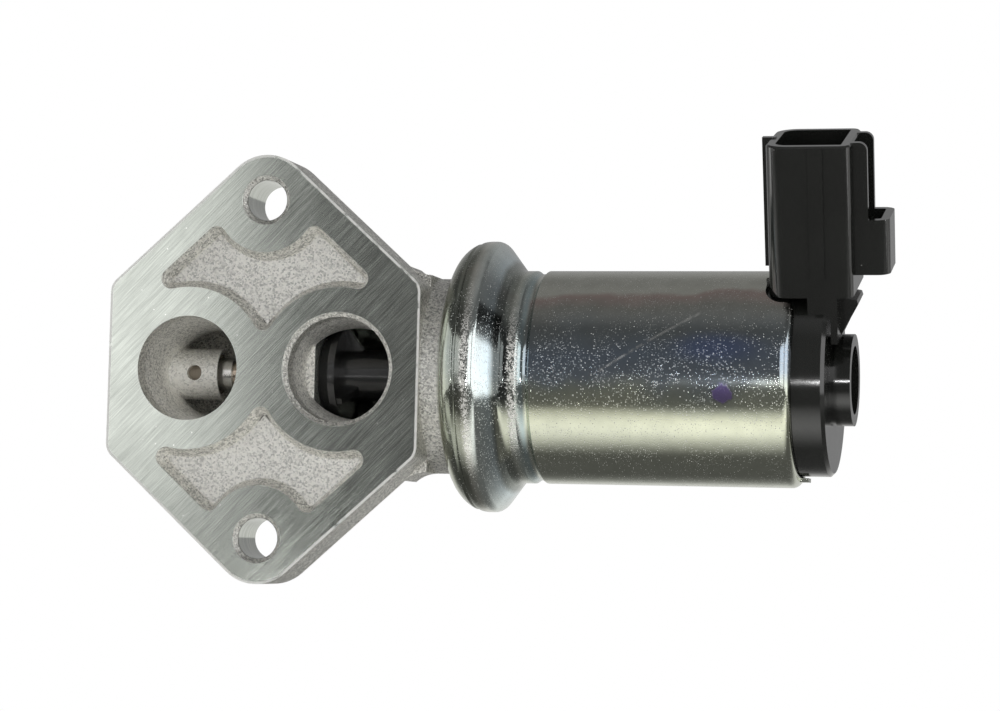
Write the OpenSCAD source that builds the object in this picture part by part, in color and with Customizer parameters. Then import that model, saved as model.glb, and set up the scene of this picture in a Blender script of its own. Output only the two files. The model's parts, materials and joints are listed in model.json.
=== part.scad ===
// Idle air control valve: a cast body with a mounting flange and two ports, a valve that slides
// on a shaft across the passage between them, and a solenoid in a crimped steel case that ends
// in a moulded cap with a vent nub and an upright plug connector.
// X runs along the shaft towards the end cap, Y runs into the depth from the mounting face at
// Y = 0, and Z points up to the connector. The origin is midway between the two bolt holes.

/* [Mounting flange] */
// Distance between the centres of the two bolt holes
bolt_spacing = 58; // [56:0.5:62]
// Diameter of a bolt hole
bolt_hole = 7; // [6.4:0.1:8]
// Width of the bevel at the mouth of a bolt hole
bolt_bevel = 0.8; // [0.4:0.1:1.2]
// Radius of the rounded ends round the bolt holes
lug_radius = 7.8; // [7:0.1:9]
// Half of the flange's width, measured along X
flange_half_width = 27.8; // [27:0.1:30]
// Height of the centre of a corner's rounding above the middle
corner_height = 13.1; // [11:0.1:14]
// Radius of the four corners
corner_radius = 3; // [2:0.1:4]
// Thickness of the flange plate
flange_thickness = 10; // [8:0.5:12]

/* [Ports and passage] */
// Distance between the centres of the two ports
port_spacing = 26.9; // [26:0.1:28.5]
// Diameter of both ports at the face
port_diameter = 18; // [16.5:0.1:18.6]
// Depth of the straight mouth of a port
port_mouth = 3; // [2:0.5:4]
// Width of the bevel round the right port
port_bevel = 0.8; // [0.4:0.1:1.2]
// Radius that a port loses between its mouth and the shaft's axis, by its casting draft
port_draft = 1.5; // [1.3:0.1:1.8]
// Depth of the cast floor of the right port beside the machined chamber
port_floor = 9.2; // [8.8:0.1:9.8]
// Diameter of the rounded chamber behind the left port
bowl_diameter = 15.6; // [15.2:0.1:16.4]
// Diameter of the cast passage from that chamber to the valve seat
passage_diameter = 14.4; // [13.8:0.1:15]
// Diameter of the opening in the valve seat
seat_opening = 13; // [12:0.1:13.6]
// Distance of the seat's face from the middle of the flange
seat_x = 6.7; // [6:0.1:7.5]
// Thickness of the wall that carries the seat
seat_wall = 5; // [4:0.1:6]
// Diameter of the machined chamber behind the seat
chamber_diameter = 18; // [17.6:0.1:18.6]

/* [Face recesses] */
// Depth of the two cast recesses in the face
recess_depth = 2.6; // [1.5:0.1:3.5]
// Land between a recess and the flange's slanted edge
recess_margin = 4.8; // [4:0.1:6]
// Land between a recess and the rim of a port
recess_port_land = 5; // [4.4:0.1:5.4]
// Land between a recess and the rim of a bolt hole
recess_bolt_land = 5.5; // [4.5:0.1:6.5]
// Half of the length of a recess
recess_half_length = 18.6; // [17.5:0.1:19.5]
// Radius of the corners of a recess at the face
recess_corner = 1.8; // [1.7:0.05:2.1]
// How far the walls of a recess lean in between the face and its floor
recess_lean = 1.3; // [0.6:0.1:1.5]

/* [Cast barrel] */
// Depth of the shaft's axis behind the mounting face
axis_depth = 17.4; // [17.2:0.1:19]
// Diameter of the barrel and of the neck to the solenoid
barrel_diameter = 34; // [32:0.2:34.2]
// Distance of the barrel's closed end from the middle of the flange
barrel_reach = 26; // [25.5:0.5:27.5]
// Radius of the rounding at the closed end
barrel_rounding = 8; // [4:0.5:10]
// Radius of the hollow where the flange's slanted edges run into the neck
neck_hollow = 6; // [4:0.5:8]
// Thickness of the straight rim of the disc that the case is crimped round
crimp_disc_rim = 3.2; // [3.1:0.1:3.4]
// Distance of the disc's sealing face from the middle of the flange
disc_face_x = 37; // [36.6:0.1:37.2]

/* [Shaft guide] */
// Diameter of the cast boss that guides the end of the shaft
guide_boss_diameter = 9.1; // [8.8:0.1:10]
// Distance of the boss's open end from the middle of the flange
guide_boss_end = 12.5; // [11.5:0.1:13.5]
// Diameter of the bore in the boss
guide_bore = 7.2; // [6.8:0.1:7.6]
// Depth of that bore
guide_bore_depth = 9.6; // [9:0.1:10]
// Width of the bevel at the mouth of that bore
guide_bevel = 0.6; // [0.3:0.1:0.8]
// Diameter of the vent hole in the side of the boss
guide_vent = 2.7; // [1.5:0.1:3.5]
// Distance of the vent hole from the open end
guide_vent_place = 4.2; // [3:0.1:6]
// Length of the bushing in the boss
guide_bushing_length = 6.5; // [5:0.1:7.5]
// Distance of the bushing from the mouth of the bore
guide_bushing_inset = 0.8; // [0.7:0.1:1.2]

/* [Shaft and valve] */
// Diameter of the journal at the guided end of the shaft
journal_diameter = 5.8; // [5.4:0.1:6]
// How far the journal stands out of the boss
journal_reach = 2.1; // [1.5:0.1:3]
// Distance between the journal's tip and the bottom of its bore
journal_end_gap = 1; // [0.5:0.1:1.5]
// Diameter of the shaft between the journal and the valve
shaft_front_diameter = 4.8; // [4.6:0.1:5.2]
// Diameter of the shaft from the valve to the armature
shaft_diameter = 4; // [3.6:0.1:4.4]
// Travel of the valve from closed to fully open
valve_travel = 3; // [2:0.1:3.2]
// Diameter of the valve's disc
valve_disc_diameter = 16.2; // [15.8:0.1:16.8]
// Thickness of the valve's disc
valve_disc_thickness = 1.2; // [0.8:0.1:2]
// Distance between the seat and the valve's disc when closed
valve_disc_gap = 2.2; // [1.8:0.1:2.6]
// Diameter of the valve's nose
valve_nose_diameter = 7.6; // [7:0.1:9]
// Length of the valve's nose in front of the cone
valve_nose_length = 1.6; // [1:0.1:2.5]
// Diameter of the valve's hub
valve_hub_diameter = 9; // [8:0.1:9.6]
// Length of the valve's hub behind the disc
valve_hub_length = 9.6; // [7:0.1:9.8]
// Number of ribs between the hub and the disc
valve_rib_count = 3; // [3:1:8]
// Angle from the mounting face to the first rib, seen along the shaft
valve_rib_turn = 81; // [0:1:120]
// Thickness of a rib
valve_rib_thickness = 1.2; // [0.8:0.1:1.6]
// Length of a rib along the hub
valve_rib_length = 3.3; // [2.5:0.1:5]
// Diameter of the retaining clip behind the valve
clip_diameter = 7.4; // [6.6:0.1:8]
// Thickness of the retaining clip
clip_thickness = 0.8; // [0.6:0.1:1]
// Depth of the clip's groove in the shaft
clip_groove_depth = 0.5; // [0.3:0.05:0.7]

/* [Front plate and bushing] */
// Length of the plate's hub inside the cast chamber
plate_hub_length = 13; // [11:0.5:14]
// Diameter of the plain bushing in the plate
bushing_diameter = 8; // [7:0.1:9]
// Length of the plain bushing
bushing_length = 12; // [9:0.5:14]
// Diameter of the rubber lip seal in front of the bushing
lip_seal_diameter = 12; // [11:0.1:13]
// Thickness of the rubber lip seal
lip_seal_thickness = 2; // [1.4:0.1:2.6]

/* [Solenoid case] */
// Outer diameter of the case
case_diameter = 36.8; // [36:0.1:37.6]
// Thickness of the sheet steel
case_wall = 1; // [0.8:0.05:1.2]
// Distance of the rim of the case from the middle of the flange
case_end_x = 90.7; // [88:0.1:94]
// Outer diameter of the bell over the crimped joint
bell_diameter = 47; // [46.6:0.1:48]
// Distance of the bell's back corner from the middle of the flange
bell_back_x = 38.3; // [38.1:0.1:38.8]
// Length of the slanted shoulder behind the bell
shoulder_length = 3.9; // [3.6:0.1:4.6]
// Radius of the bell's rounding at its back
bell_rounding = 1.6; // [1.2:0.1:2]
// Radius of the bell's rounding at the crimped lip
lip_rounding = 5.2; // [4:0.1:5.2]
// Steepness of the crimped lip, as its length over its height
lip_slope = 0.35; // [0.35:0.05:0.5]
// Radius of the hollow between the shoulder and the case
shoulder_hollow = 1.4; // [1:0.1:2]
// Distance of the crease where the lip was bent from the middle of the flange
crease_x = 35; // [34.6:0.1:35.4]
// Depth of the crease below the bell's outer diameter
crease_depth = 0.6; // [0.5:0.05:0.7]
// Distance of the beaded groove from the middle of the flange
groove_x = 45.8; // [45.4:0.1:47.4]
// Depth of the beaded groove
groove_depth = 0.55; // [0.3:0.05:0.8]
// Radius of the rounded edge turned in at the rim
rim_rounding = 1.6; // [1.2:0.1:2]
// How far the rim is turned in past the inside of the wall
rim_turn = 0.7; // [0.5:0.05:0.9]
// Width of the small tab that is pressed over the end cap
rim_tab_width = 3; // [2:0.1:4]
// How far that tab stands out past the rim
rim_tab_reach = 1.4; // [1:0.1:2]

/* [Solenoid] */
// Inner diameter of the brass sleeve round the armature
sleeve_bore = 14.1; // [13.6:0.1:14.6]
// Wall of the brass sleeve
sleeve_wall = 0.5; // [0.4:0.05:0.8]
// Distance of the brass sleeve's end from the rear plate
sleeve_gap = 9.95; // [8:0.05:12]
// Thickness of the bobbin's tube
bobbin_wall = 1; // [0.8:0.1:1.4]
// Thickness of the bobbin's two flanges
bobbin_flange = 1.5; // [1.2:0.1:2.2]
// Depth of the winding's surface below the rim of the bobbin
winding_inset = 0.9; // [0.5:0.1:1.5]
// Length of the armature
armature_length = 20; // [18:0.5:23]
// Distance between the front plate and the armature when closed
armature_front_gap = 2; // [1:0.1:3]
// Length of shaft that is fixed inside the armature
armature_grip = 13; // [10:0.5:15]
// Diameter of the bore for the spring in the armature and the core
spring_bore = 8.4; // [8:0.1:9]
// Depth of the spring's seat in the armature
spring_seat_depth = 5; // [3:0.1:5.5]
// Thickness of the brass stop washer on the core
stop_washer_thickness = 0.5; // [0.3:0.05:0.8]
// Thickness of the rear plate
rear_plate_thickness = 2.4; // [2:0.1:3]
// Diameter of the core's tail
core_tail_diameter = 11.2; // [10.8:0.1:11.4]
// Length of the core's tail behind the rear plate
core_tail_length = 3; // [2:0.1:4]
// Diameter of the spring wire
spring_wire = 0.7; // [0.5:0.05:0.9]
// Outer diameter of the return spring
spring_diameter = 7.2; // [6.6:0.1:7.4]
// Number of turns of the return spring
spring_turns = 9; // [6:1:12]
// Length of the adjusting screw
screw_length = 8; // [6:0.5:9]
// Width of the slot in the adjusting screw
screw_slot = 1.2; // [0.8:0.1:1.6]

/* [Seals] */
// Thickness of the ring of the seal on the crimped disc
disc_seal_section = 2.2; // [1.8:0.1:2.6]
// Diameter of the seal on the crimped disc, at the middle of its ring
disc_seal_diameter = 31; // [28:0.5:34]
// Thickness of the ring of the seal on the end cap
cap_seal_section = 1.8; // [1.4:0.1:2]

/* [End cap] */
// Length of the cap's collar inside the case
cap_collar_length = 6.4; // [6:0.1:7]
// Gap between the case's turned-in rim and the cap
cap_rim_gap = 0.3; // [0.2:0.05:0.6]
// Length of the cap in view
cap_length = 5.5; // [4.5:0.1:7]
// Width of the bevel at the cap's edge
cap_bevel = 0.6; // [0.3:0.1:1]
// Diameter of the vent nub
nub_diameter = 15.6; // [15:0.1:16.5]
// Length of the vent nub
nub_length = 3.3; // [2.8:0.1:4.4]
// Diameter of the bore through the nub and the cap
nub_bore = 11.6; // [11.5:0.1:12]
// Width of the shallow groove round the foot of the nub
nub_groove = 0.5; // [0.3:0.1:0.8]
// Depth of the closing plug below the end of the nub
plug_depth = 5; // [4.2:0.1:5.5]
// Thickness of the closing plug
plug_thickness = 2; // [1.5:0.1:2.5]

/* [Connector] */
// Angle that the connector leans towards the mounting face
connector_lean = 18; // [12:0.5:20]
// Distance of the connector's near side from the rim of the case, towards the flange
tower_inset = 4.5; // [3.9:0.1:4.7]
// Length of the connector along X
tower_length = 14.2; // [13.6:0.1:15]
// Width of the connector across X
tower_width = 18.3; // [17.6:0.1:18.8]
// Radius of the connector's two upright edges on its near side
tower_near_rounding = 3.8; // [2.6:0.1:4.4]
// Radius of the connector's two upright edges on its far side
tower_far_rounding = 1.8; // [1.7:0.1:2.4]
// Depth of the connector's underside below the top of the cap
tower_sink = 0.2; // [0.1:0.1:0.5]
// Height of the connector's straight part above the shaft's axis
tower_height = 41.2; // [38:0.1:42.4]
// Width of the bevel round the connector's mouth
tower_bevel = 0.3; // [0.2:0.1:0.8]
// Wall of the connector's socket
socket_wall = 1.6; // [1.3:0.1:1.8]
// Depth of the connector's socket
socket_depth = 18; // [15:0.5:20]
// Distance of the stem under the connector from the rim of the case
stem_gap = 2.2; // [1.3:0.1:3.3]
// Length of the stem's near part along X, up to the step in its front
stem_step = 2.3; // [1.9:0.1:2.7]
// Length of the stem along X
stem_length = 4.9; // [4.1:0.1:5.5]
// Height of the foot of the stem's near part above the shaft's axis
stem_step_foot = 13.3; // [12:0.1:14]
// Height of the stem's foot above the shaft's axis
stem_foot = 8.4; // [8:0.1:9.4]
// Thickness of the upright rib on the connector's near side
near_rib_thickness = 1.4; // [1:0.1:2]
// How far that rib stands out
near_rib_reach = 1.3; // [0.8:0.1:2]
// Height of that rib's foot above the shaft's axis
near_rib_foot = 19.9; // [19:0.1:21]
// Width of the key on the broad face
key_width = 2.4; // [1.5:0.1:3]
// Distance of the key from the connector's near side
key_place = 7.3; // [6:0.1:8]
// How far the key stands out
key_reach = 0.4; // [0.3:0.1:0.8]
// Height of the key's foot above the shaft's axis
key_foot = 19.3; // [18:0.1:21]
// How far the latch guard's frames stand out past the connector
guard_reach = 2.4; // [1.8:0.1:2.8]
// Width of the latch guard
guard_width = 11.6; // [10:0.1:12.6]
// Radius of the outer top corners of the latch guard's frames
guard_rounding = 1.4; // [0.8:0.1:1.8]
// Thickness of the latch guard's walls
guard_wall = 1.4; // [1:0.1:1.6]
// Height of the strap that closes the latch guard
strap_height = 9.2; // [7:0.1:11]
// Height of the strap's foot above the shaft's axis
strap_foot = 19.4; // [18.5:0.1:21]
// How far the strap stands out past the connector
strap_reach = 5.8; // [5:0.1:6.6]
// Radius of the strap's upright edges
strap_rounding = 2; // [1.6:0.1:2.4]
// Height of the locking ramp on the stem
ramp_height = 6.4; // [5:0.1:7]
// How far the locking ramp stands out
ramp_reach = 2.9; // [2:0.1:3.4]
// Width of the locking ramp
ramp_width = 8; // [6:0.1:10]
// Width of a contact blade
blade_width = 2.8; // [2:0.1:3]
// Thickness of a contact blade
blade_thickness = 0.8; // [0.6:0.1:1]
// Distance between the two contact blades
blade_spacing = 5; // [4.4:0.1:6]
// Depth of a blade's tip below the connector's mouth
blade_tip_drop = 8; // [6:0.5:10]
// Thickness of a contact's tail
contact_tail = 1.5; // [1.2:0.1:1.8]
// Depth of the contacts' tails below the floor of the seal's groove
contact_tail_inset = 2.15; // [1.9:0.05:2.6]

/* [Hidden] */
$fn = 72;
// Clearance between fixed pieces, and the radial clearance of a running fit
fit_gap = 0.05;
run_gap = 0.05;
// Overshoot of a cut past the face that it opens
over = 1;

bolt_radius = bolt_hole / 2;
port_radius = port_diameter / 2;
port_x = port_spacing / 2;
chamber_radius = chamber_diameter / 2;
barrel_radius = barrel_diameter / 2;
guide_mouth_x = -guide_boss_end;
guide_bottom_x = guide_mouth_x - guide_bore_depth;
guide_radius = guide_bore / 2;
journal_radius = journal_diameter / 2;
journal_tip_x = guide_bottom_x + journal_end_gap;
journal_shoulder_x = guide_mouth_x + journal_reach;
shaft_front_radius = shaft_front_diameter / 2;
shaft_radius = shaft_diameter / 2;

valve_disc_radius = valve_disc_diameter / 2;
valve_disc_x = seat_x + valve_disc_gap;
// The cone passes the edge of the seat's opening with the fixed clearance
cone_slope = (valve_disc_radius - seat_opening / 2 + 2 * fit_gap) / valve_disc_gap;
cone_start_radius = valve_nose_diameter / 2 + 1;
cone_start_x = valve_disc_x - (valve_disc_radius - cone_start_radius) / cone_slope;
valve_nose_x = cone_start_x - valve_nose_length;
valve_back_x = valve_disc_x + valve_disc_thickness;
valve_end_x = valve_back_x + valve_hub_length;

case_radius = case_diameter / 2;
bell_radius = bell_diameter / 2;
lip_radius = barrel_radius + 0.35;
// The sheet steel lies against the crimped disc with the fixed clearance
disc_radius = bell_radius - case_wall - 2 * fit_gap;
disc_cone_x = disc_face_x - crimp_disc_rim;
disc_foot_x = disc_cone_x - (disc_radius - barrel_radius) * lip_slope;
lip_shift = (case_wall + fit_gap) * sqrt(1 + lip_slope * lip_slope);
lip_x = disc_foot_x + (lip_radius - barrel_radius) * lip_slope - lip_shift;
bell_front_x = lip_x + (bell_radius - lip_radius) * lip_slope;
case_start_x = bell_back_x + shoulder_length;
case_inner_radius = case_radius - case_wall;

plate_face_x = disc_face_x + fit_gap;
plate_rim_x = bell_back_x - case_wall * 0.6;
plate_back_x = case_start_x - case_wall - 0.4;
plate_hub_x = plate_face_x - plate_hub_length;
bushing_x = plate_back_x - bushing_length;

rim_inner_x = case_end_x - case_wall;
cap_collar_x = rim_inner_x - fit_gap - cap_collar_length;
rear_plate_x = cap_collar_x - fit_gap - rear_plate_thickness;
bobbin_x = plate_back_x + fit_gap;
bobbin_end_x = rear_plate_x - fit_gap;
sleeve_radius = sleeve_bore / 2 + sleeve_wall;
bobbin_bore_radius = sleeve_radius + fit_gap;
bobbin_tube_radius = bobbin_bore_radius + bobbin_wall;
bobbin_radius = case_inner_radius - 0.3;
armature_radius = sleeve_bore / 2 - run_gap;
armature_x = plate_back_x + armature_front_gap;
armature_end_x = armature_x + armature_length;
shaft_end_x = armature_x + armature_grip;
spring_seat_x = armature_end_x - spring_seat_depth;
stop_x = armature_end_x + valve_travel + 0.1;
core_x = stop_x + stop_washer_thickness;
core_tail_radius = core_tail_diameter / 2;
core_end_x = rear_plate_x + rear_plate_thickness + core_tail_length;
spring_bore_radius = spring_bore / 2;
screw_x = core_end_x - screw_length;

cap_collar_radius = case_inner_radius - 0.15;
cap_radius = case_inner_radius - rim_turn - cap_rim_gap;
cap_seal_x = cap_collar_x + cap_seal_section / 2 + 0.5;
cap_seal_radius = cap_collar_radius - cap_seal_section / 2;
cap_face_x = rim_inner_x - fit_gap + case_wall + cap_length;
nub_end_x = cap_face_x + nub_length;
plug_end_x = nub_end_x - plug_depth;

tower_x = case_end_x - tower_inset;
stem_x = case_end_x + stem_gap;
stem_step_x = stem_x + stem_step;
stem_end_x = stem_x + stem_length;
tower_foot = cap_radius - tower_sink;
tower_end_x = tower_x + tower_length;
tower_top = tower_height + tower_bevel;
socket_floor = tower_top - socket_depth;
contact_x = tower_x + tower_length / 2;
contact_tail_height = cap_seal_radius - cap_seal_section / 2 - contact_tail_inset - contact_tail;
guard_end_x = tower_end_x + guard_reach;
strap_end_x = tower_end_x + strap_reach;

// Points on a circle about c, from angle a to angle b
function arc(c, r, a, b, n) = [for (i = [0:n]) c + r * [cos(a + (b - a) * i / n), sin(a + (b - a) * i / n)]];
function direction(v) = atan2(v[1], v[0]);
function mirrored(points) = [for (i = [len(points) - 1:-1:0]) [-points[i][0], points[i][1]]];

// A drawing in X and Z, made solid between two depths
module depth_extrude(from, to) {
    translate([0, to, 0])
        rotate([90, 0, 0])
            linear_extrude(to - from)
                children();
}

// A round piece or hole along Y, with its radius at both depths
module depth_round(x, z, from, to, r1, r2) {
    translate([x, from, z])
        rotate([-90, 0, 0])
            cylinder(h = to - from, r1 = r1, r2 = r2);
}

// Places children that run along their own Z axis onto the shaft's axis
module on_axis(x = 0) {
    translate([x, axis_depth, 0])
        rotate([0, 90, 0])
            children();
}

// A round piece or hole on the shaft's axis
module round_x(from, to, r) {
    on_axis(from)
        cylinder(h = to - from, r = r);
}

// A round piece on the shaft's axis that changes its radius evenly
module taper_x(from, to, r1, r2) {
    on_axis(from)
        cylinder(h = to - from, r1 = r1, r2 = r2);
}

// A tube on the shaft's axis
module tube_x(from, to, outer, inner) {
    difference() {
        round_x(from, to, outer);
        round_x(from - over, to + over, inner);
    }
}

function unit(v) = v / norm(v);
function turn(a, b) = a[0] * b[1] - a[1] * b[0];
// Directions from corner i of an outline to the corners before and after it
function before(p, i) = unit([for (k = [0:1]) p[(i + len(p) - 1) % len(p)][k] - p[i][k]]);
function after(p, i) = unit([for (k = [0:1]) p[(i + 1) % len(p)][k] - p[i][k]]);
function half_angle(p, i) = acos(before(p, i) * after(p, i)) / 2;
function bisector(p, i) = unit(before(p, i) + after(p, i));
function spot(p, i) = [p[i][0], p[i][1]];
function rounding_centre(p, i) = spot(p, i) + bisector(p, i) * p[i][2] / sin(half_angle(p, i));
function is_hollow(p, i) = turn(after(p, i), before(p, i)) < 0;

function edge_length(p, i) = p[i][2] / tan(half_angle(p, i));
function rounding_start(p, i) = spot(p, i) + edge_length(p, i) * before(p, i);
function rounding_end(p, i) = spot(p, i) + edge_length(p, i) * after(p, i);

// The slice of a corner's rounding circle between its two edges
module slice(p, i) {
    c = rounding_centre(p, i);
    intersection() {
        translate(c)
            circle(p[i][2]);
        polygon([c, for (q = [rounding_start(p, i), spot(p, i), rounding_end(p, i)]) c + 2 * (q - c)]);
    }
}

// Outline with rounded corners. Each corner is [x, y, radius], counter-clockwise.
module rounded(p) {
    n = len(p);
    round_corners = [for (i = [0:n - 1]) if (p[i][2] > 0) i];
    difference() {
        union() {
            polygon([
                for (i = [0:n - 1])
                    each p[i][2] > 0 ? [rounding_start(p, i), rounding_end(p, i)] : [spot(p, i)]]);
            for (i = round_corners)
                if (!is_hollow(p, i))
                    slice(p, i);
        }
        for (i = round_corners)
            if (is_hollow(p, i))
                slice(p, i);
    }
}

// A revolved profile on the shaft's axis, drawn with its radius as x and its place along X as y
module turned() {
    on_axis()
        rotate_extrude()
            children();
}

lug = [0, bolt_spacing / 2];
corner = [flange_half_width - corner_radius, corner_height];

// The slanted edge's normal, pointing out of the flange at the upper right
function slant() =
    let (d = corner - lug, a = direction(d) + acos((lug_radius - corner_radius) / norm(d)))
    [cos(a), sin(a)];

module flange_outline() {
    n = slant();
    upper = [corner + [corner_radius, 0], corner + corner_radius * n, lug + lug_radius * n];
    right = concat([for (p = [upper[2], upper[1], upper[0]]) [p[0], -p[1]]], upper);
    polygon(concat(right, mirrored(right)));
    for (side = [-1, 1], end = [-1, 1])
        translate([side * corner[0], end * corner[1]])
            circle(corner_radius);
    for (end = [-1, 1])
        translate([0, end * lug[1]])
            circle(lug_radius);
}

recess_bolt_radius = bolt_radius + recess_bolt_land;
recess_port_radius = port_radius + recess_port_land;
// Centres of a recess's rounded corners on its right half
function recess_corners() =
    let (
        n = slant(),
        reach = n * lug + lug_radius - recess_margin - recess_corner,
        x = recess_half_length - recess_corner,
        far = recess_bolt_radius + recess_corner,
        along = reach - n * lug,
        across = sqrt(far * far - along * along),
        hug = recess_port_radius + recess_corner)
    [
        lug + along * n + across * [n[1], -n[0]],
        [x, (reach - n[0] * x) / n[1]],
        [x, sqrt(hug * hug - (x - port_x) * (x - port_x))],
        [0, sqrt(hug * hug - port_x * port_x)]];

// Outline of a recess as a list of points, drawn in by the given step
function recess_outline(step) =
    let (
        c = recess_corners(),
        r = recess_corner - step,
        port = [port_x, 0],
        edge = direction(slant()),
        right = concat(
            arc(c[3], r, -90, direction(port - c[3]), 4),
            arc(port, recess_port_radius + step, direction(c[3] - port), direction(c[2] - port), 18),
            arc(c[2], r, direction(port - c[2]), 0, 8),
            arc(c[1], r, 0, edge, 4),
            arc(c[0], r, edge, direction(lug - c[0]), 8),
            arc(lug, recess_bolt_radius + step, direction(c[0] - lug), -90, 12)))
    concat(right, mirrored([for (i = [1:len(right) - 2]) right[i]]));

// One cast recess above the ports, whose walls lean in between the face and its floor
module recess() {
    front = recess_outline(-over * recess_lean / recess_depth);
    back = recess_outline(recess_lean);
    n = len(front);
    points = concat(
        [for (p = front) [p[0], -over, p[1]]],
        [for (p = back) [p[0], recess_depth, p[1]]]);
    walls = [for (i = [0:n - 1]) [i, (i + 1) % n, n + (i + 1) % n, n + i]];
    caps = [[for (i = [n - 1:-1:0]) i], [for (i = [0:n - 1]) n + i]];
    polyhedron(points, concat(walls, caps));
}

// Barrel with a rounded closed end, and the disc that the case is crimped round
module barrel_section() {
    rounded([
        [0, -barrel_reach, 0], [barrel_radius, -barrel_reach, barrel_rounding], [barrel_radius, disc_foot_x, 0],
        [disc_radius, disc_cone_x, lip_rounding - case_wall], [disc_radius, disc_face_x, 0], [0, disc_face_x, 0]]);
}

// Web with a hollow edge, where the flange's upper slanted edge runs into the neck
module neck_web() {
    n = slant();
    z = barrel_radius + neck_hollow;
    x = (n * lug + lug_radius + neck_hollow - n[1] * z) / n[0];
    start = [x, z] - neck_hollow * n;
    depth_extrude(flange_thickness - over, axis_depth)
        difference() {
            polygon([
                [start[0], barrel_radius / 2], [x, barrel_radius / 2], [x, barrel_radius], start]);
            translate([x, z])
                circle(neck_hollow);
        }
}

// The flange's right end runs down to the barrel without a step
module neck_block() {
    z = barrel_radius - 0.3;
    depth_extrude(flange_thickness - over, axis_depth)
        intersection() {
            flange_outline();
            translate([0, -z])
                square([flange_half_width, 2 * z]);
        }
}

// A port's cast hole, straight at its mouth and narrowing down to the shaft's axis
module port_core(x) {
    depth_round(x, 0, -over, port_mouth, port_radius, port_radius);
    depth_round(x, 0, port_mouth, axis_depth, port_radius, port_radius - port_draft);
}

module left_port() {
    port_core(-port_x);
}

// The right port keeps a cast floor beside the machined chamber
module right_port() {
    difference() {
        port_core(port_x);
        translate([seat_x - port_radius, port_floor, -port_radius])
            cube([port_radius, axis_depth, port_diameter]);
    }
    depth_round(port_x, 0, -port_bevel, port_bevel, port_radius + 2 * port_bevel, port_radius);
}

// Rounded chamber behind the left port, cast passage, valve seat's opening and machined chamber
module passage() {
    bowl = bowl_diameter / 2;
    turned() {
        intersection() {
            translate([0, -port_x])
                circle(bowl);
            translate([0, -port_x - bowl])
                square(2 * bowl);
        }
        translate([0, -port_x])
            square([passage_diameter / 2, port_x + seat_x - seat_wall]);
        translate([0, seat_x - seat_wall - over])
            square([seat_opening / 2, seat_wall + 2 * over]);
        translate([0, seat_x])
            square([chamber_radius, disc_face_x + over - seat_x]);
    }
}

module guide_hole() {
    round_x(guide_bottom_x, guide_mouth_x + over, guide_radius);
    taper_x(guide_mouth_x - guide_bevel, guide_mouth_x + over, guide_radius, guide_radius + guide_bevel + over);
    depth_round(guide_mouth_x - guide_vent_place, 0, -over, axis_depth, guide_vent / 2, guide_vent / 2);
}

module valve_body() {
    color("silver")
        difference() {
            union() {
                difference() {
                    union() {
                        depth_extrude(0, flange_thickness)
                            flange_outline();
                        turned()
                            barrel_section();
                        neck_block();
                        neck_web();
                        mirror([0, 0, 1])
                            neck_web();
                    }
                    left_port();
                    right_port();
                    passage();
                }
                round_x(guide_mouth_x - guide_bore_depth - over, guide_mouth_x, guide_boss_diameter / 2);
            }
            guide_hole();
            for (end = [-1, 1]) {
                depth_round(0, end * lug[1], -over, flange_thickness + over, bolt_radius, bolt_radius);
                depth_round(0, end * lug[1], -bolt_bevel, bolt_bevel, bolt_radius + 2 * bolt_bevel, bolt_radius);
            }
            recess();
            mirror([0, 0, 1])
                recess();
            turned()
                translate([(disc_seal_diameter - disc_seal_section) / 2, disc_face_x - disc_seal_section])
                    square([disc_seal_section, disc_seal_section + over]);
        }
}

module guide_bushing() {
    end = guide_mouth_x - guide_bushing_inset;
    color("darkgoldenrod")
        tube_x(end - guide_bushing_length, end, guide_radius - fit_gap, journal_radius + run_gap);
}

module shaft() {
    groove_start = valve_end_x + fit_gap;
    groove_end = groove_start + clip_thickness + fit_gap;
    groove_floor = shaft_radius - clip_groove_depth;
    color("rosybrown")
        turned()
            polygon([
                [0, journal_tip_x], [journal_radius, journal_tip_x],
                [journal_radius, journal_shoulder_x], [shaft_front_radius, journal_shoulder_x],
                [shaft_front_radius, valve_nose_x], [shaft_radius, valve_nose_x],
                [shaft_radius, groove_start], [groove_floor, groove_start],
                [groove_floor, groove_end], [shaft_radius, groove_end],
                [shaft_radius, shaft_end_x], [0, shaft_end_x]]);
}

module valve_rib() {
    foot = valve_hub_diameter / 2 - 0.4;
    rotate([90, 0, 0])
        translate([0, 0, -valve_rib_thickness / 2])
            linear_extrude(valve_rib_thickness)
                polygon([
                    [foot, valve_back_x - 0.2], [valve_disc_radius - 0.3, valve_back_x - 0.2],
                    [valve_disc_radius - 0.3, valve_back_x + 1], [foot + 0.4, valve_back_x + valve_rib_length],
                    [foot, valve_back_x + valve_rib_length]]);
}

module valve_plunger() {
    color("dimgray")
        difference() {
            union() {
                round_x(valve_nose_x, valve_end_x, valve_hub_diameter / 2);
                round_x(valve_nose_x, cone_start_x, valve_nose_diameter / 2);
                taper_x(cone_start_x, valve_disc_x, cone_start_radius, valve_disc_radius);
                round_x(valve_disc_x, valve_back_x, valve_disc_radius);
                on_axis()
                    for (i = [0:valve_rib_count - 1])
                        rotate([0, 0, -90 - valve_rib_turn + i * 360 / valve_rib_count])
                            valve_rib();
            }
            round_x(valve_nose_x - over, valve_end_x + over, shaft_radius + fit_gap / 2);
        }
}

module retaining_clip() {
    inner = shaft_radius - clip_groove_depth + fit_gap;
    mouth = inner * 1.6;
    start = valve_end_x + fit_gap * 1.5;
    color("slategray")
        difference() {
            tube_x(start, start + clip_thickness - fit_gap, clip_diameter / 2, inner);
            translate([start - over, axis_depth - mouth / 2, 0])
                cube([clip_thickness + 2 * over, mouth, clip_diameter]);
        }
}

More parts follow.
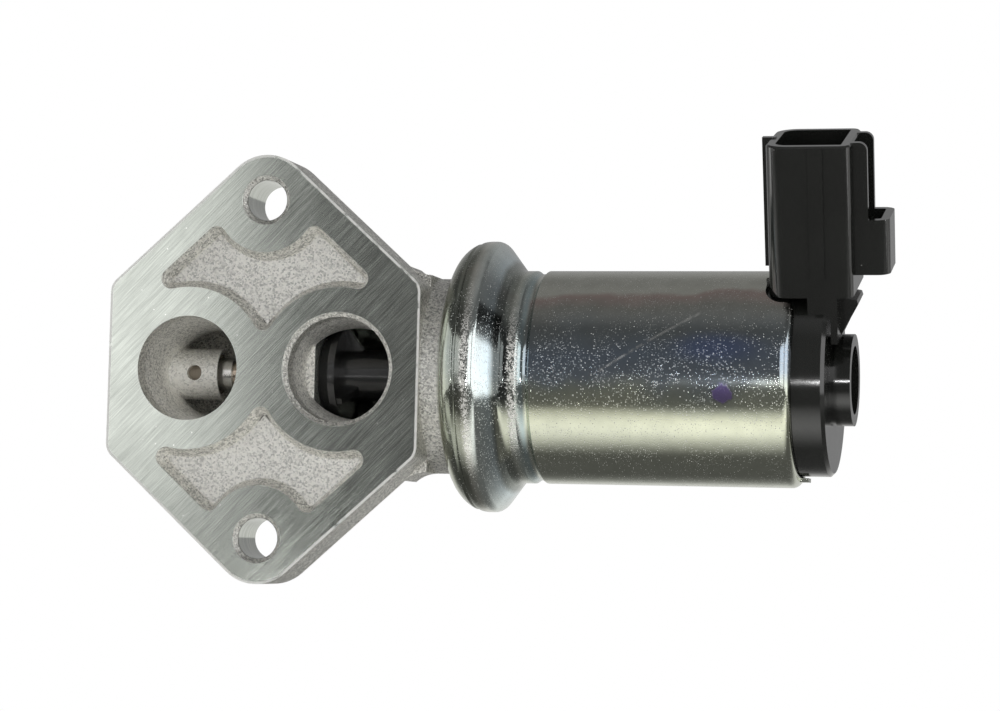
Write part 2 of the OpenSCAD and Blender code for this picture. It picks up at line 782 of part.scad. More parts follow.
module lip_seal() {
    r = lip_seal_diameter / 2;
    start = plate_hub_x;
    color("black")
        difference() {
            round_x(start + fit_gap, start + lip_seal_thickness, r - fit_gap);
            taper_x(start - over, start + lip_seal_thickness + over, r - 1, shaft_radius + 0.12);
            round_x(start - over, start + lip_seal_thickness + over, shaft_radius + 0.12);
        }
}

module front_plate() {
    color("lightsteelblue")
        difference() {
            union() {
                round_x(plate_face_x, plate_rim_x, disc_radius);
                round_x(plate_face_x, plate_back_x, case_inner_radius - 0.15);
                round_x(plate_hub_x, plate_face_x + fit_gap, chamber_radius - fit_gap);
            }
            round_x(plate_hub_x - over, plate_back_x + over, bushing_diameter / 2);
            round_x(plate_hub_x - over, plate_hub_x + lip_seal_thickness + fit_gap, lip_seal_diameter / 2);
        }
}

module shaft_bushing() {
    color("darkgoldenrod")
        tube_x(bushing_x, plate_back_x - fit_gap, bushing_diameter / 2 - fit_gap, shaft_radius + run_gap);
}

// A rubber ring on the shaft's axis, at the given place and middle radius
module seal_ring(x, radius, section) {
    color("black")
        turned()
            translate([radius, x])
                circle(section / 2);
}

module disc_seal() {
    seal_ring(disc_face_x - disc_seal_section / 2, disc_seal_diameter / 2, disc_seal_section - 2 * fit_gap);
}

// Outline of the case from the crimped lip to its rim, drawn in by the given step
function case_line(step) =
    let (
        slant = step * sqrt(1 + lip_slope * lip_slope),
        shoulder = (bell_radius - case_radius) / shoulder_length,
        shoulder_slant = step * sqrt(1 + 1 / (shoulder * shoulder)),
        lip_top = bell_radius - step,
        side = case_radius - step)
    [
        [0, lip_x + slant - lip_radius * lip_slope, 0],
        [lip_top, bell_front_x + slant - step * lip_slope, lip_rounding - step],
        [lip_top, bell_back_x - shoulder_slant + step / shoulder, bell_rounding - step],
        [side, case_start_x - shoulder_slant + step / shoulder, shoulder_hollow + step],
        [side, case_end_x - step, max(rim_rounding - step, 0.3)],
        [0, case_end_x - step, 0]];

module case_section() {
    groove_roller = 1.6;
    crease_roller = 0.6;
    difference() {
        rounded(case_line(0));
        rounded(case_line(case_wall));
        translate([-1, 0])
            square([lip_radius + 1, bell_front_x]);
        translate([-1, bell_front_x - over])
            square([case_inner_radius - rim_turn + 1, case_end_x]);
        translate([case_radius + groove_roller - groove_depth, groove_x])
            circle(groove_roller);
        translate([bell_radius + crease_roller - crease_depth, crease_x])
            circle(crease_roller);
    }
}

// Leans children about the shaft's axis, from upright towards the mounting face
module leaning() {
    translate([0, axis_depth, 0])
        rotate([connector_lean, 0, 0])
            children();
}

module solenoid_case() {
    notch = tower_width + 1;
    notch_rounding = 3;
    color("darkkhaki") {
        difference() {
            turned()
                case_section();
            leaning()
                translate([tower_x - 0.5, 0, 0])
                    linear_extrude(case_diameter) {
                        translate([0, notch_rounding - notch / 2])
                            square([case_end_x, notch - 2 * notch_rounding]);
                        translate([notch_rounding, -notch / 2])
                            square([case_end_x, notch]);
                        for (side = [-1, 1])
                            translate([notch_rounding, side * (notch / 2 - notch_rounding)])
                                circle(notch_rounding);
                    }
        }
        translate([case_end_x - case_wall, axis_depth - rim_tab_width / 2, -case_inner_radius])
            cube([case_wall + rim_tab_reach, rim_tab_width, case_wall * 0.7]);
    }
}

module armature_sleeve() {
    color("goldenrod")
        tube_x(bobbin_x, rear_plate_x - sleeve_gap, sleeve_radius, sleeve_bore / 2);
}

module bobbin() {
    color("tan")
        difference() {
            union() {
                round_x(bobbin_x, bobbin_x + bobbin_flange, bobbin_radius);
                round_x(bobbin_end_x - bobbin_flange, bobbin_end_x, bobbin_radius);
                round_x(bobbin_x, bobbin_end_x, bobbin_tube_radius);
            }
            round_x(bobbin_x - over, bobbin_end_x + over, bobbin_bore_radius);
        }
}

module coil_winding() {
    color("peru")
        tube_x(bobbin_x + bobbin_flange + fit_gap, bobbin_end_x - bobbin_flange - fit_gap,
            bobbin_radius - winding_inset, bobbin_tube_radius + fit_gap);
}

module armature() {
    color("gray")
        difference() {
            round_x(armature_x, armature_end_x, armature_radius);
            round_x(armature_x - over, spring_seat_x + over, shaft_radius + fit_gap / 2);
            round_x(spring_seat_x, armature_end_x + over, spring_bore_radius);
        }
}

module stop_washer() {
    color("gold")
        tube_x(stop_x, core_x - fit_gap, sleeve_bore / 2 - 0.2, spring_bore_radius);
}

module pole_core() {
    color("gray")
        difference() {
            union() {
                round_x(core_x, rear_plate_x - fit_gap, sleeve_bore / 2 - fit_gap);
                round_x(core_x, core_end_x, core_tail_radius);
            }
            round_x(core_x - over, core_end_x + over, spring_bore_radius);
        }
}

module adjusting_screw() {
    color("goldenrod")
        difference() {
            round_x(screw_x, core_end_x, spring_bore_radius - fit_gap);
            translate([core_end_x - 1.6, axis_depth - screw_slot / 2, -spring_bore])
                cube([1.6 + over, screw_slot, 2 * spring_bore]);
        }
}

// Round wire wound from the armature's seat to the adjusting screw
module return_spring() {
    sides = 8;
    steps = 14;
    count = spring_turns * steps;
    wire = spring_wire / 2;
    r = spring_diameter / 2 - wire;
    start = spring_seat_x + wire + fit_gap;
    length = screw_x - wire - fit_gap - start;
    rings = [
        for (i = [0:count])
            let (turn = 360 * i / steps)
            for (k = [0:sides - 1])
                let (a = 360 * k / sides, reach = r + wire * cos(a))
                [start + length * i / count + wire * sin(a), axis_depth + reach * cos(turn), reach * sin(turn)]];
    sidewalls = [
        for (i = [0:count - 1], k = [0:sides - 1])
            let (a = i * sides + k, b = i * sides + (k + 1) % sides)
            [a, b, b + sides, a + sides]];
    ends = [[for (k = [sides - 1:-1:0]) k], [for (k = [0:sides - 1]) count * sides + k]];
    color("lightgray")
        polyhedron(rings, concat(sidewalls, ends));
}

module rear_plate() {
    color("lightsteelblue")
        tube_x(rear_plate_x, rear_plate_x + rear_plate_thickness, case_radius - case_wall - 0.15,
            core_tail_radius + fit_gap);
}

module cap_seal() {
    seal_ring(cap_seal_x, cap_seal_radius, cap_seal_section - 2 * fit_gap);
}

// Rectangle from near to far along X, centred across it, with a radius for each end's corners
module upright_outline(near, far, width, near_r, far_r) {
    y = width / 2;
    rounded([[near, -y, near_r], [far, -y, far_r], [far, y, far_r], [near, y, near_r]]);
}

// The connector's outline, drawn in by the given step
module tower_outline(step) {
    upright_outline(tower_x + step, tower_end_x - step, tower_width - 2 * step,
        tower_near_rounding - step, tower_far_rounding - step);
}

// The upright connector without its socket
module tower() {
    skin = 0.01;
    half = tower_width / 2;
    translate([0, 0, tower_foot])
        linear_extrude(tower_height - tower_foot)
            tower_outline(0);
    hull() {
        translate([0, 0, tower_height - skin])
            linear_extrude(skin)
                tower_outline(0);
        translate([0, 0, tower_top - skin])
            linear_extrude(skin)
                tower_outline(tower_bevel);
    }
    translate([stem_x, -half, stem_step_foot])
        cube([stem_end_x - stem_x, tower_width, tower_foot + 1 - stem_step_foot]);
    translate([stem_step_x, -half, stem_foot])
        cube([stem_end_x - stem_step_x, tower_width, tower_foot + 1 - stem_foot]);
    translate([tower_x - near_rib_reach, -near_rib_thickness / 2, near_rib_foot])
        cube([near_rib_reach + 1, near_rib_thickness, tower_height + 0.5 - near_rib_foot]);
    translate([tower_x + key_place, -half - key_reach, key_foot])
        cube([key_width, key_reach + 1, tower_height - key_foot]);
}

// Two upright frames joined by a strap, which shield the plug's latch
module latch_guard() {
    root_x = tower_end_x - 1;
    for (side = [-1, 1])
        translate([0, side * (guard_width - guard_wall) / 2 + guard_wall / 2, 0])
            rotate([90, 0, 0])
                linear_extrude(guard_wall)
                    rounded([
                        [root_x, strap_foot, 0], [guard_end_x, strap_foot, 0],
                        [guard_end_x, tower_top, guard_rounding], [root_x, tower_top, 0]]);
    translate([0, 0, strap_foot])
        linear_extrude(strap_height)
            difference() {
                upright_outline(root_x, strap_end_x, guard_width, 0, strap_rounding);
                upright_outline(root_x, strap_end_x - guard_wall,
                    guard_width - 2 * guard_wall, 0, strap_rounding - guard_wall);
            }
}

// Sloping catch for the plug's latch, on the stem
module locking_ramp() {
    top = tower_foot - 1;
    tip = top - 1.2;
    foot = top - ramp_height;
    translate([0, ramp_width / 2, 0])
        rotate([90, 0, 0])
            linear_extrude(ramp_width)
                polygon([
                    [stem_end_x - 1, foot], [stem_end_x, foot], [stem_end_x + ramp_reach, tip],
                    [stem_end_x + ramp_reach - 0.2, tip + 0.7], [stem_end_x, top], [stem_end_x - 1, top]]);
}

// One contact: a blade in the socket and a tail that leads back to the winding
module contact(side, gap = 0) {
    y = side * blade_spacing / 2 - blade_thickness / 2 - gap;
    tip = tower_top - blade_tip_drop;
    leaning() {
        translate([contact_x - blade_width / 2 - gap, y, contact_tail_height - gap])
            cube([blade_width + 2 * gap, blade_thickness + 2 * gap, tip - contact_tail_height + gap]);
        translate([cap_collar_x - gap, y, contact_tail_height - gap])
            cube([contact_x - cap_collar_x, blade_thickness + 2 * gap, contact_tail + 2 * gap]);
    }
}

module end_cap() {
    color("#2b2b2b")
        difference() {
            union() {
                round_x(cap_collar_x, rim_inner_x - fit_gap, cap_collar_radius);
                round_x(cap_collar_x, cap_face_x - cap_bevel, cap_radius);
                taper_x(cap_face_x - cap_bevel, cap_face_x, cap_radius, cap_radius - cap_bevel);
                round_x(cap_face_x - over, nub_end_x, nub_diameter / 2);
                leaning() {
                    tower();
                    latch_guard();
                    locking_ramp();
                }
            }
            round_x(cap_collar_x - over, nub_end_x + over, nub_bore / 2);
            tube_x(cap_face_x, cap_face_x + nub_groove, nub_diameter, nub_diameter / 2 - 0.3);
            turned()
                translate([cap_seal_radius - cap_seal_section / 2, cap_seal_x - cap_seal_section / 2])
                    square([cap_seal_section + over, cap_seal_section]);
            leaning()
                translate([0, 0, socket_floor])
                    linear_extrude(socket_depth + over)
                        tower_outline(socket_wall);
            for (side = [-1, 1])
                contact(side, fit_gap);
        }
}

module closing_plug() {
    color("#3a3a3a")
        difference() {
            round_x(plug_end_x - plug_thickness, plug_end_x, nub_bore / 2 - fit_gap);
            round_x(plug_end_x - plug_thickness / 2, plug_end_x + over, nub_bore / 2 - 1.2);
        }
}

module contact_front() {
    color("tan")
        contact(-1);
}

module contact_back() {
    color("tan")
        contact(1);
}

valve_body();
guide_bushing();
shaft();
valve_plunger();
retaining_clip();
lip_seal();
front_plate();
shaft_bushing();
disc_seal();
solenoid_case();
armature_sleeve();
bobbin();
coil_winding();
armature();
stop_washer();
return_spring();
pole_core();
adjusting_screw();
rear_plate();
cap_seal();
end_cap();
closing_plug();
contact_front();
contact_back();
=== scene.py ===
"""The looks of an idle air control valve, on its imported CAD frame.

All lengths are in metres, in the frame of the part: X runs along the shaft towards the end cap,
Y into the depth from the mounting face, and Z up to the connector. Angles about the shaft's axis
are in degrees, 0 towards the mounting side and 90 up.
"""

import json
import math

import bpy
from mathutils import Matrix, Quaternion, Vector


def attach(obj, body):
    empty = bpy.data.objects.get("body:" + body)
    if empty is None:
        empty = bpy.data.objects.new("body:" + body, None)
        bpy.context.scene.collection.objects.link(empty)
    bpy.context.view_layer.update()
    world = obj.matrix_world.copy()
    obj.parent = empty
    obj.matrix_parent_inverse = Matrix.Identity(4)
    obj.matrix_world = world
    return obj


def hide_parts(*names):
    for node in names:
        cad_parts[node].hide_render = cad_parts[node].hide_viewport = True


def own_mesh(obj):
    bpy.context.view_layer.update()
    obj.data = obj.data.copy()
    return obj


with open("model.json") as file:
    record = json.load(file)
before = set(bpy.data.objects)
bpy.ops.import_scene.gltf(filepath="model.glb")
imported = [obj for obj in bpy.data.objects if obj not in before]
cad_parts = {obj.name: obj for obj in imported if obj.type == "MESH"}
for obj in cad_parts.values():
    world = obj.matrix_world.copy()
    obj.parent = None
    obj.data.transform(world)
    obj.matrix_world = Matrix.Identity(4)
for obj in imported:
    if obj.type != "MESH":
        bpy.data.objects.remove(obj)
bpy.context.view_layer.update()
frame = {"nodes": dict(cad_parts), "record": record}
scene = bpy.context.scene
MM = 0.001

# The camera's place, what it looks at, its turn about its own axis and its lens
CAMERA_PLACE = Vector((0.15257, -0.45804, -0.02970))
CAMERA_TARGET = Vector((0.04194, 0.0, 0.00251))
CAMERA_ROLL = math.radians(1.374)
CAMERA_LENS = 101.45
SENSOR_WIDTH = 36.0
CLIP_START = 0.01

# Places on the casting and the shaft that the materials follow
AXIS_Y = 17.4 * MM
SEAT_X = 6.7 * MM
CHAMBER_RADIUS = 9.0 * MM
BOLT_Z = 29 * MM
BOLT_RADIUS = 3.5 * MM
BOLT_MOUTH_DEPTH = 0.9 * MM
LUG_RADIUS = 7.8 * MM
FLANGE_HALF_WIDTH = 27.8 * MM
CORNER_RADIUS = 3 * MM
CORNER_Z = 13.1 * MM
EDGE_WIDTH = 0.55 * MM
RECESS_DEPTH = 2.6 * MM
# The barrel next to the crimp, where a painted highlight brightens the cast
BARREL_X = 31.2 * MM
BARREL_END_X = 32.2 * MM
BOSS_RADIUS = 6 * MM
PORT_DEPTH = 3.2 * MM
PORT_END_X = 24 * MM
PORT_TOP = 11 * MM
# The painted light on the cast walls in the ports fades over this depth
PORT_FADE_Y = 13 * MM
PORT_FADE_END_Y = 19 * MM
# The milling strokes grow deeper over this stretch of the face
SHALLOW_STROKES_X = -5 * MM
DEEP_STROKES_X = 22 * MM
JOURNAL_END_X = -10.4 * MM

# Places on the steel case
CASE_RADIUS = 18.4 * MM
BELL_FILM_X = 27 * MM
BELL_FILM_END_X = 47 * MM
CAN_X = 46.6 * MM
GROOVE_X = 41.5 * MM
GROOVE_END_X = 43.2 * MM
FRONT_BEND_X = (37.0 * MM, 37.7 * MM)
REAR_BEND_X = (43.7 * MM, 44.8 * MM)
# The rough bends carry a painted highlight towards the front, full near this angle and gone beyond
# the last
BEND_HIGHLIGHT_ANGLE = -6.0
BEND_HIGHLIGHT_FULL = 16
BEND_HIGHLIGHT_GONE = 58
# The inspector's ink mark and the blue sheen above it: places along X, angles about the axis
INK_X = 79.7 * MM
INK_ANGLE = -10.8
SHEEN_X = INK_X - 1 * MM
SHEEN_ANGLE = 13.0
# The scratch: where it starts and ends along X, with its angles about the axis
SCRATCH_START = (59.6 * MM, 1.0)
SCRATCH_END = (74.8 * MM, 31.4)

# The passivation on the can by its angle, -180 to 180 degrees: tints and painted light
# Painted reflection: the light band below the front and the pale strip on top; painted shade: the
# darker band above the front
CAN_FILM_AND_PAINTED_BANDS = (
    (0.0, (0.50, 0.52, 0.46)), (0.28, (0.52, 0.54, 0.46)), (0.36, (0.60, 0.62, 0.50)),
    (0.41, (0.78, 0.80, 0.62)), (0.455, (0.62, 0.66, 0.56)), (0.49, (0.40, 0.46, 0.52)),
    (0.53, (0.36, 0.43, 0.52)), (0.58, (0.36, 0.40, 0.41)), (0.65, (0.34, 0.34, 0.31)),
    (0.685, (0.46, 0.37, 0.34)), (0.70, (0.58, 0.58, 0.52)), (1.0, (0.50, 0.52, 0.46)),
)
# The passivation on the bell from BELL_FILM_X to BELL_FILM_END_X, with painted light
# Painted reflections: the dark and light bands along the bell stand in for the ring's reflections
BELL_FILM_AND_PAINTED_BANDS = (
    (0.0, (0.46, 0.50, 0.42)), (0.30, (0.46, 0.48, 0.39)), (0.36, (0.22, 0.24, 0.20)),
    (0.46, (0.24, 0.25, 0.21)), (0.50, (0.60, 0.60, 0.54)), (0.57, (0.72, 0.78, 0.76)),
    (0.68, (0.62, 0.72, 0.76)), (0.71, (0.24, 0.27, 0.26)), (0.80, (0.26, 0.28, 0.25)),
    (0.84, (0.55, 0.58, 0.52)), (0.93, (0.40, 0.50, 0.52)), (1.0, (0.50, 0.52, 0.46)),
)

PART_MIDDLE = (0.04, 0.01, 0.0)
# Each lamp's name, place, target, width and height, brightness, and whether gloss shows it
LAMPS = (
    ("overhead", (0.05, -0.28, 0.60), PART_MIDDLE, (0.5, 0.4), 3.2, False),
    ("left", (-0.395, -0.512, 0.17), (0.04, 0.01, 0.12), (0.44, 0.36), 1.2, True),
    ("low_left", (-0.395, -0.512, -0.13), (0.04, 0.01, -0.12), (0.44, 0.24), 0.48, True),
    ("far_left", (-0.62, -0.02, 0.05), PART_MIDDLE, (0.55, 0.5), 1.3, True),
    ("right", (0.336, -0.52, 0.05), PART_MIDDLE, (0.42, 0.6), 1.4, True),
    ("far_right", (0.62, -0.14, 0.05), PART_MIDDLE, (0.42, 0.5), 1.4, True),
    ("small", (0.053, -0.47, -0.055), PART_MIDDLE, (0.024, 0.018), 62.0, True),
    ("small_left", (-0.128, -0.47, -0.062), PART_MIDDLE, (0.045, 0.014), 7.0, True),
)

FLOOR_Z = -0.10
FLOOR_SIZE = 12.0
# Distances from the part where the floor starts to turn white and is white
PALE_DISTANCE = 0.12
WHITE_DISTANCE = 0.5
# Where the strip of floor in front of the part shows in its gloss, and the floor behind it
# The dim gap between the front strip and the back is a painted shadow, seen only in gloss
FRONT_GLOW_Y = (-0.155, -0.045)
FRONT_GLOW_END_Y = (0.015, -0.050)
BACK_GLOW_Y = (0.07, 0.25)


class Graph:
    """The nodes of one material or world. Each call adds nodes and returns their outputs."""

    def __init__(self, owner):
        owner.use_nodes = True
        self.owner = owner
        self.tree = owner.node_tree
        self.tree.nodes.clear()

    def node(self, kind, inputs=None, **settings):
        """A node with these settings, and a link or a constant on each input given."""
        made = self.tree.nodes.new("ShaderNode" + kind)
        for name, value in settings.items():
            setattr(made, name, value)
        for key, value in (inputs or {}).items():
            socket = made.inputs[key]
            if isinstance(value, bpy.types.NodeSocket):
                self.tree.links.new(value, socket)
            elif socket.type == "VECTOR":
                socket.default_value = value[:3]
            else:
                socket.default_value = value
        return made

    def place(self):
        return self.node("TexCoord").outputs["Object"]

    def split(self, vector):
        return self.node("SeparateXYZ", {0: vector}).outputs[:]

    def join(self, x, y, z):
        return self.node("CombineXYZ", {0: x, 1: y, 2: z}).outputs[0]

    def calc(self, operation, a, b=0.0):
        return self.node("Math", {0: a, 1: b}, operation=operation).outputs[0]

    def chain(self, operation, values):
        result = values[0]
        for value in values[1:]:
            result = self.calc(operation, result, value)
        return result

    def product(self, *values):
        return self.chain("MULTIPLY", values)

    def total(self, *values):
        return self.chain("ADD", values)

    def highest(self, *values):
        return self.chain("MAXIMUM", values)

    def minus(self, a, b):
        return self.calc("SUBTRACT", a, b)

    def size(self, value):
        return self.calc("ABSOLUTE", value)

    def length(self, a, b, a_weight=1.0, b_weight=1.0):
        """The length of a vector whose two squares can have weights."""
        squares = self.total(self.product(a, a, a_weight), self.product(b, b, b_weight))
        return self.calc("SQRT", squares)

    def step(self, value, low, high, to_low=0.0, to_high=1.0):
        """Goes smoothly from to_low at low to to_high at high."""
        inputs = {0: value, 1: low, 2: high, 3: to_low, 4: to_high}
        return self.node("MapRange", inputs, interpolation_type="SMOOTHSTEP").outputs[0]

    def inside(self, value, low, high, soft):
        """1 between low and high, and 0 outside them."""
        return self.product(self.step(value, low - soft, low), self.step(value, high + soft, high))

    def noise(self, size, vector, detail=2.0):
        inputs = {"Vector": vector, "Scale": 1 / size, "Detail": detail}
        return self.node("TexNoise", inputs).outputs[0]

    def streaks(self, x, y, z, detail=2.0):
        """Drawn-out noise: each axis comes multiplied by its own count per metre."""
        return self.noise(1.0, self.join(x, y, z), detail)

    def cells(self, size, vector):
        """The distance from a cell's centre in sizes of a cell, and a random value for each."""
        made = self.node("TexVoronoi", {"Vector": vector, "Scale": 1 / size}, feature="F1")
        return made.outputs["Distance"], self.split(made.outputs["Color"])[0]

    def blend(self, factor, a, b):
        """Goes from the colour a to the colour b."""
        return self.node("Mix", {0: factor, 6: a, 7: b}, data_type="RGBA").outputs[2]

    def pick(self, factor, a, b):
        """Goes from the value a to the value b."""
        return self.split(self.blend(factor, a, b))[0]

    def tint(self, colour, factor):
        """A colour made lighter or darker by a factor."""
        return self.node("VectorMath", {0: colour, 3: factor}, operation="SCALE").outputs[0]

    def ramp(self, value, stops):
        """The colour at a value from 0 to 1, for stops of a position and a colour each."""
        made = self.node("ValToRGB", {0: value})
        elements = made.color_ramp.elements
        elements[0].position, elements[0].color = stops[0][0], (*stops[0][1], 1)
        elements[1].position, elements[1].color = stops[-1][0], (*stops[-1][1], 1)
        for position, colour in stops[1:-1]:
            elements.new(position).color = (*colour, 1)
        return made.outputs[0]

    def bump(self, height, depth, normal=None):
        inputs = {"Height": height, "Distance": depth, "Strength": 1.0}
        if normal:
            inputs["Normal"] = normal
        return self.node("Bump", inputs).outputs[0]

    def surface(self, shader):
        self.node("OutputMaterial", {"Surface": shader})
        return self.owner

    def principled(self, **values):
        inputs = {name.replace("_", " "): value for name, value in values.items()}
        return self.surface(self.node("BsdfPrincipled", inputs).outputs[0])


def material(name):
    return Graph(bpy.data.materials.new(name))


def rgb(r, g, b):
    return (r, g, b, 1.0)


WHITE = rgb(1, 1, 1)
CAST_GREY = rgb(0.84, 0.83, 0.79)
# Painted glints: the colour of the cast's brightest grains
PAINTED_GLINT_WHITE = rgb(0.95, 0.94, 0.90)
MILLED_GREY = rgb(0.60, 0.63, 0.58)
NICK_WHITE = rgb(0.95, 0.95, 0.92)
TURNED_GREY = rgb(0.60, 0.62, 0.58)
# A painted highlight along the mounting face's rim
EDGE_HIGHLIGHT_WHITE = rgb(0.96, 0.96, 0.93)
# Painted shade and a painted highlight for the bell's groove
GROOVE_PAINTED_SHADE = rgb(0.07, 0.08, 0.08)
GROOVE_PAINTED_HIGHLIGHT = rgb(0.60, 0.62, 0.50)
# Painted highlight on the rough bends
BEND_HIGHLIGHT_WHITE = rgb(0.95, 0.94, 0.90)
SHEEN_BLUE = rgb(0.24, 0.33, 0.66)
SPECK_WHITE = rgb(0.93, 0.93, 0.90)
INK_VIOLET = rgb(0.10, 0.05, 0.22)
DUST_GREY = rgb(0.6, 0.6, 0.58)
RUBBER_BLACK = rgb(0.022, 0.022, 0.024)
COPPER = rgb(0.62, 0.27, 0.10)
PAPER = rgb(0.88, 0.88, 0.87)
WARM_GLOW = rgb(1, 1, 0.97)
# Painted shade and a painted highlight in the bell's groove, each from one angle to another
GROOVE_PAINTED_LIGHT_BANDS = ((-12, 24, GROOVE_PAINTED_SHADE), (-42, -26, GROOVE_PAINTED_HIGHLIGHT))


def round_axis(g, y, z):
    """The distance from the shaft's axis, and the angle about it."""
    depth = g.minus(AXIS_Y, y)
    angle = g.product(g.calc("ARCTAN2", z, depth), 180 / math.pi)
    return g.length(depth, z), angle


def choose(g, factor, a, b):
    """The value a where the factor is 0, and b where it is 1."""
    return g.total(g.product(a, g.minus(1.0, factor)), g.product(b, factor))


def inside_flange(g, x, z):
    """How far a point of the mounting face lies inside the flange's outline."""
    across = g.size(x)
    up = g.size(z)
    corner_x = FLANGE_HALF_WIDTH - CORNER_RADIUS
    run, drop = corner_x, CORNER_Z - BOLT_Z
    slant = math.atan2(drop, run) + math.acos((LUG_RADIUS - CORNER_RADIUS) / math.hypot(run, drop))
    normal_x, normal_z = math.cos(slant), math.sin(slant)
    reach = BOLT_Z * normal_z + LUG_RADIUS

    def from_centre(centre_x, centre_z):
        """The distance from a centre, how far it is turned past the slant, and if it is above."""
        a, b = g.minus(across, centre_x), g.minus(up, centre_z)
        turned = g.minus(g.product(a, normal_z), g.product(b, normal_x))
        return g.length(a, b), turned, g.calc("GREATER_THAN", b, 0.0)

    side = g.minus(across, FLANGE_HALF_WIDTH)
    sloping = g.minus(g.total(g.product(across, normal_x), g.product(up, normal_z)), reach)
    distance = g.highest(side, sloping)
    away, turned, above = from_centre(corner_x, CORNER_Z)
    at_corner = g.product(above, g.calc("GREATER_THAN", turned, 0.0))
    distance = choose(g, at_corner, distance, g.minus(away, CORNER_RADIUS))
    away, turned, above = from_centre(0.0, BOLT_Z)
    at_lug = g.product(g.calc("LESS_THAN", turned, 0.0), above)
    distance = choose(g, at_lug, distance, g.minus(away, LUG_RADIUS))
    return g.product(distance, -1.0)


def edge_burrs_and_painted_highlight(g, place, x, y, z):
    """The bright rim of the mounting face: a painted highlight along its outline, broken up by
    small burrs.
    """
    near_outline = g.step(inside_flange(g, x, z), EDGE_WIDTH, EDGE_WIDTH - 0.3 * MM)
    near_face = g.step(y, 0.5 * MM, 0.2 * MM)
    burrs = g.step(g.noise(2.5 * MM, place, detail=3), 0.3, 0.5, 0.35, 1.0)
    return g.product(near_outline, near_face, burrs)


def turned_bores(g, x, y, z, radius):
    """The machined chamber behind the seat, and the two bolt holes."""
    behind_seat = g.step(x, SEAT_X - 0.05 * MM, SEAT_X)
    in_chamber = g.step(radius, CHAMBER_RADIUS + 0.3 * MM, CHAMBER_RADIUS + 0.1 * MM)
    from_bolt = g.length(x, g.minus(g.size(z), BOLT_Z))
    in_hole = g.step(from_bolt, BOLT_RADIUS + 0.12 * MM, BOLT_RADIUS + 0.05 * MM)
    past_mouth = g.step(y, BOLT_MOUTH_DEPTH - 0.2 * MM, BOLT_MOUTH_DEPTH)
    return g.product(behind_seat, in_chamber), g.product(in_hole, past_mouth)


def inside_ports(g, x, y, z):
    """The cast walls that are seen through the two ports, where painted light is added."""
    deep = g.step(y, PORT_DEPTH, PORT_DEPTH + 1 * MM)
    along = g.step(x, PORT_END_X + 2 * MM, PORT_END_X)
    level = g.step(g.size(z), PORT_TOP + 2 * MM, PORT_TOP)
    return g.product(deep, along, level, g.step(y, PORT_FADE_END_Y, PORT_FADE_Y))


def cast_colour(g, place, shade, painted_light):
    """Grey grains with painted glints, and painted light in some places."""
    cloud = g.noise(9 * MM, place, detail=3)
    light = g.total(g.product(shade, 0.72), g.product(cloud, 0.25))
    light = g.total(light, g.total(0.36, painted_light))
    # Painted glints: a few grains turned near white stand in for facets that catch the lamps
    painted_glint = g.cells(0.22 * MM, place)[1]
    cast = g.tint(CAST_GREY, g.calc("MINIMUM", light, 1.18))
    return g.blend(g.step(painted_glint, 0.80, 0.92), cast, PAINTED_GLINT_WHITE)


def milling_strokes(g, x, z):
    """Strokes along the face's diagonal, and how deep they are."""
    along = g.total(x, z)
    across = g.minus(x, z)
    fine = g.streaks(g.product(along, 110), g.product(across, 3600), 0.0, detail=4)
    broad = g.streaks(g.product(along, 60), g.product(across, 900), 0.0, detail=3)
    strokes = g.total(g.step(fine, 0.3, 0.7, 0.0, 0.6), g.step(broad, 0.3, 0.7, 0.0, 0.4))
    return strokes, g.step(x, SHALLOW_STROKES_X, DEEP_STROKES_X, 0.34, 0.78)


def milled_colour(g, place, strokes, stroke_depth):
    """The milled face, with a few bright nicks."""
    light = g.total(0.93, g.product(g.minus(strokes, 0.5), stroke_depth))
    nick, kind = g.cells(1.1 * MM, place)
    nicks = g.product(g.step(nick, 0.16, 0.06), g.step(kind, 0.86, 0.9))
    return g.blend(nicks, g.tint(MILLED_GREY, light), NICK_WHITE)


